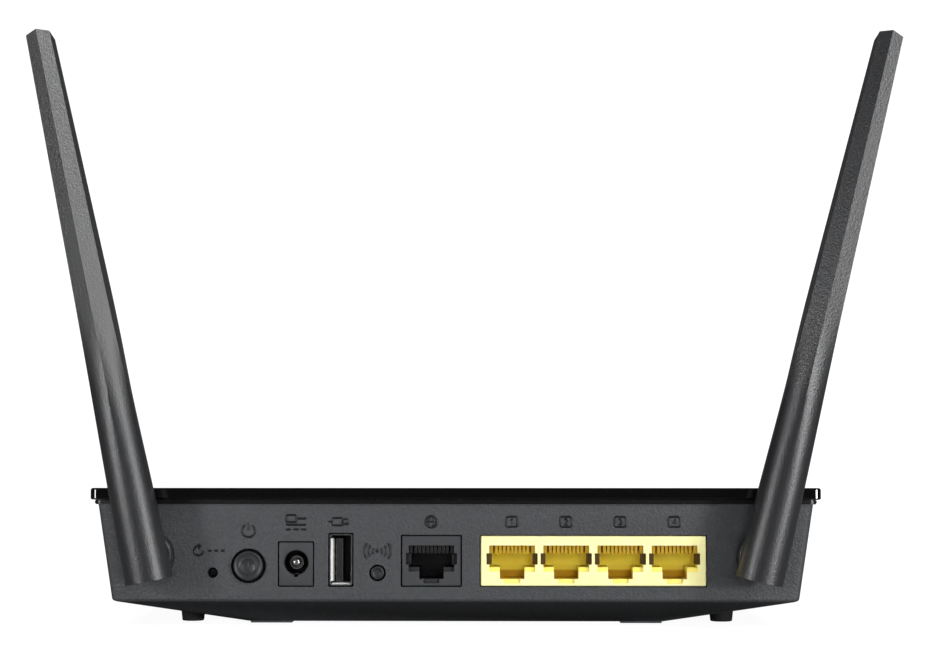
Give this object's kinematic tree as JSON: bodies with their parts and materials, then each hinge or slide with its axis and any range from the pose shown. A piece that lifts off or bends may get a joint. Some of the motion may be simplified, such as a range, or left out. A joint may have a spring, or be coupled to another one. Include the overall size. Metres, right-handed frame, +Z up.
{
  "type": "wireless router",
  "caption": "Wireless router: flat dark case with a gloss lid, a rear panel of network sockets and buttons, and hinged antennas.",
  "frame": {"origin": "on the table, under the middle of the case's flat underside", "axes": "+X to the right when looking at the connector panel, +Y from the connector panel to the front, +Z up"},
  "size_m": [0.2251, 0.1385, 0.1538],
  "materials": {
    "case_plastic": "fine spark-eroded texture",
    "antenna_plastic": "satin",
    "gloss_black": "polished",
    "frame_black": "satin",
    "light_lens": "clear to milky",
    "foot_rubber": "matte",
    "board_green": "solder mask",
    "chip_black": "moulded",
    "tinned_steel": "tinned",
    "aluminium": "plain",
    "contact_gold": "gold flash",
    "jack_yellow": "satin",
    "jack_black": "satin",
    "copper": "plated strip",
    "coax_sleeve": "smooth",
    "screw_steel": "zinc"
  },
  "bodies": {
    "housing": {"bottom_case": "case_plastic", "top_lid": "gloss_black", "top_frame": "frame_black", "light_guide": "light_lens", "light_strip": "chip_black", "main_board": "board_green", "board_screw_1": "screw_steel", "board_screw_2": "screw_steel", "case_screw_1": "screw_steel", "case_screw_2": "screw_steel", "case_screw_3": "screw_steel", "case_screw_4": "screw_steel", "rear_left_foot": "foot_rubber", "rear_right_foot": "foot_rubber", "front_left_foot": "foot_rubber", "front_right_foot": "foot_rubber", "processor_chip": "chip_black", "memory_chip": "chip_black", "flash_chip": "chip_black", "heat_sink": "aluminium", "wan_transformer": "chip_black", "lan_transformer": "chip_black", "power_inductor": "chip_black", "clock_crystal": "aluminium", "left_shield_can": "tinned_steel", "right_shield_can": "tinned_steel", "capacitor_1": "aluminium", "capacitor_2": "aluminium", "dc_jack": "jack_black", "dc_jack_pin": "tinned_steel", "usb_jack_sleeve": "tinned_steel", "usb_jack_tongue": "jack_black", "wan_jack": "jack_black", "wan_contacts": "contact_gold", "lan_jack_block": "jack_yellow", "lan_contacts_1": "contact_gold", "lan_contacts_2": "contact_gold", "lan_contacts_3": "contact_gold", "lan_contacts_4": "contact_gold", "power_switch": "chip_black", "pairing_switch": "chip_black", "reset_switch": "chip_black", "left_aerial_lead": "coax_sleeve", "left_lead_plug": "contact_gold", "right_aerial_lead": "coax_sleeve", "right_lead_plug": "contact_gold"},
    "power_key": {"power_button": "case_plastic"},
    "pairing_key": {"pairing_button": "case_plastic"},
    "reset_key": {"reset_plunger": "jack_black"},
    "left_swivel_body": {"left_swivel_knuckle": "antenna_plastic", "left_swivel_clip": "tinned_steel"},
    "left_antenna_body": {"left_antenna": "antenna_plastic", "left_antenna_element": "copper", "left_hinge_pin": "tinned_steel"},
    "right_swivel_body": {"right_swivel_knuckle": "antenna_plastic", "right_swivel_clip": "tinned_steel"},
    "right_antenna_body": {"right_antenna": "antenna_plastic", "right_antenna_element": "copper", "right_hinge_pin": "tinned_steel"}
  },
  "joints": [
    {"name": "left_swivel", "type": "hinge", "parent": "housing", "child": "left_swivel_body", "pos_m": [-0.079, -0.06155, 0.0182], "axis": [0, 1, 0], "range_deg": [-78.2, 101.8]},
    {"name": "left_fold", "type": "hinge", "parent": "left_swivel_body", "child": "left_antenna_body", "pos_m": [-0.079, -0.07075, 0.0182], "axis": [0.9789, 0, 0.2045], "range_deg": [0, 90]},
    {"name": "right_swivel", "type": "hinge", "parent": "housing", "child": "right_swivel_body", "pos_m": [0.079, -0.06155, 0.0182], "axis": [0, 1, 0], "range_deg": [-103.8, 76.2]},
    {"name": "right_fold", "type": "hinge", "parent": "right_swivel_body", "child": "right_antenna_body", "pos_m": [0.079, -0.07075, 0.0182], "axis": [0.9709, 0, -0.2394], "range_deg": [0, 90]},
    {"name": "power_press", "type": "slide", "parent": "housing", "child": "power_key", "axis": [0, 1, 0], "range_m": [0, 0.0016], "stiffness_N_per_m": 800, "springref_m": -0.0005},
    {"name": "pairing_press", "type": "slide", "parent": "housing", "child": "pairing_key", "axis": [0, 1, 0], "range_m": [0, 0.0004], "stiffness_N_per_m": 2500, "springref_m": -0.0002},
    {"name": "reset_press", "type": "slide", "parent": "housing", "child": "reset_key", "axis": [0, 1, 0], "range_m": [0, 0.0003], "stiffness_N_per_m": 2500, "springref_m": -0.0002}
  ]
}
